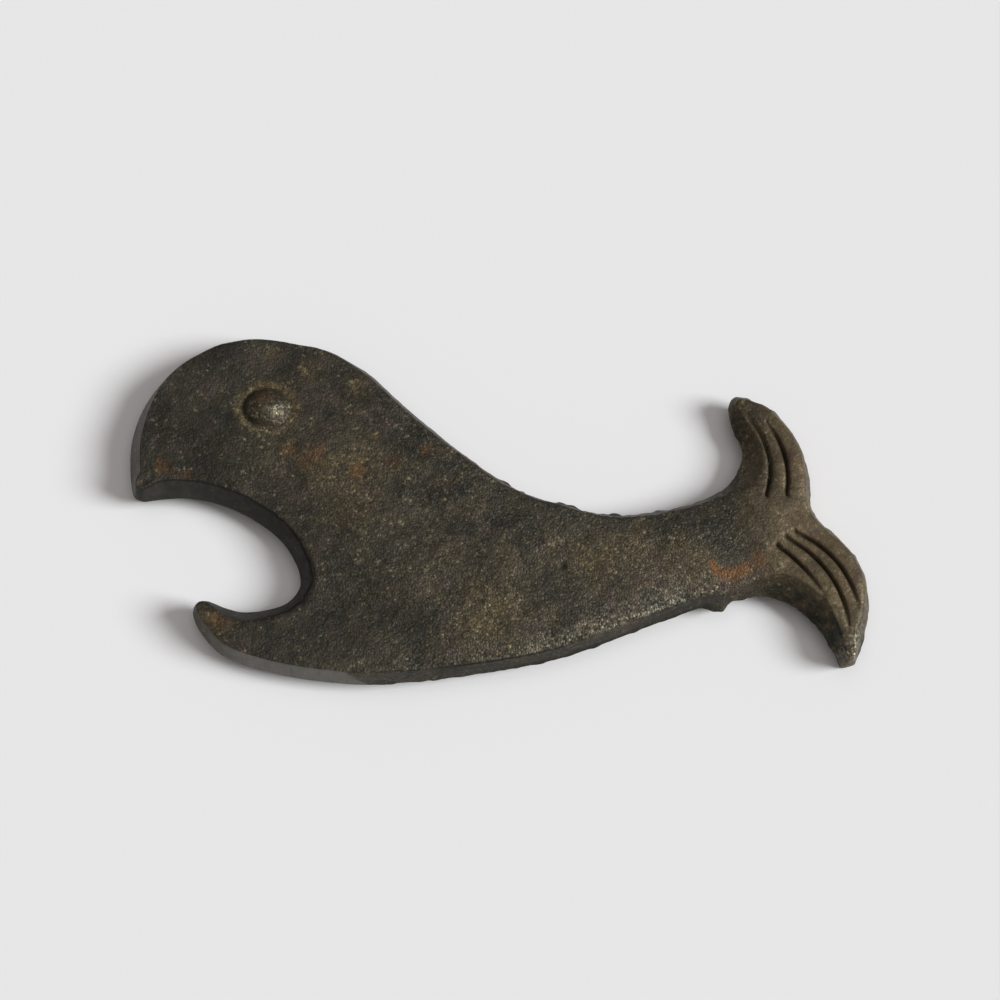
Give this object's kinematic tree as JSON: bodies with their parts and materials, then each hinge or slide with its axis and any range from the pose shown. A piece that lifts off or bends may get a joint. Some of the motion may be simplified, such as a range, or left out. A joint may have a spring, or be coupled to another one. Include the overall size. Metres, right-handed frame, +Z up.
{
  "type": "lobster cracker",
  "caption": "Flat cast-iron shellfish cracker in the shape of a whale, with an open bevelled mouth as the claw gap, a raised eye and grooved tail flukes.",
  "frame": {"origin": "centre of the bounding box at the underside, where the casting rests", "axes": "+X from the snout to the tail flukes, along the length; +Y across, from the belly to the back; +Z up, out of the face with the eye"},
  "size_m": [0.127, 0.0618, 0.0091],
  "materials": {
    "cast_iron": "dark brown-grey as-cast iron with fine sand grain, rust blooms and a few filed bright edges"
  },
  "bodies": {
    "root": {"whale_casting": "cast_iron"}
  },
  "joints": []
}
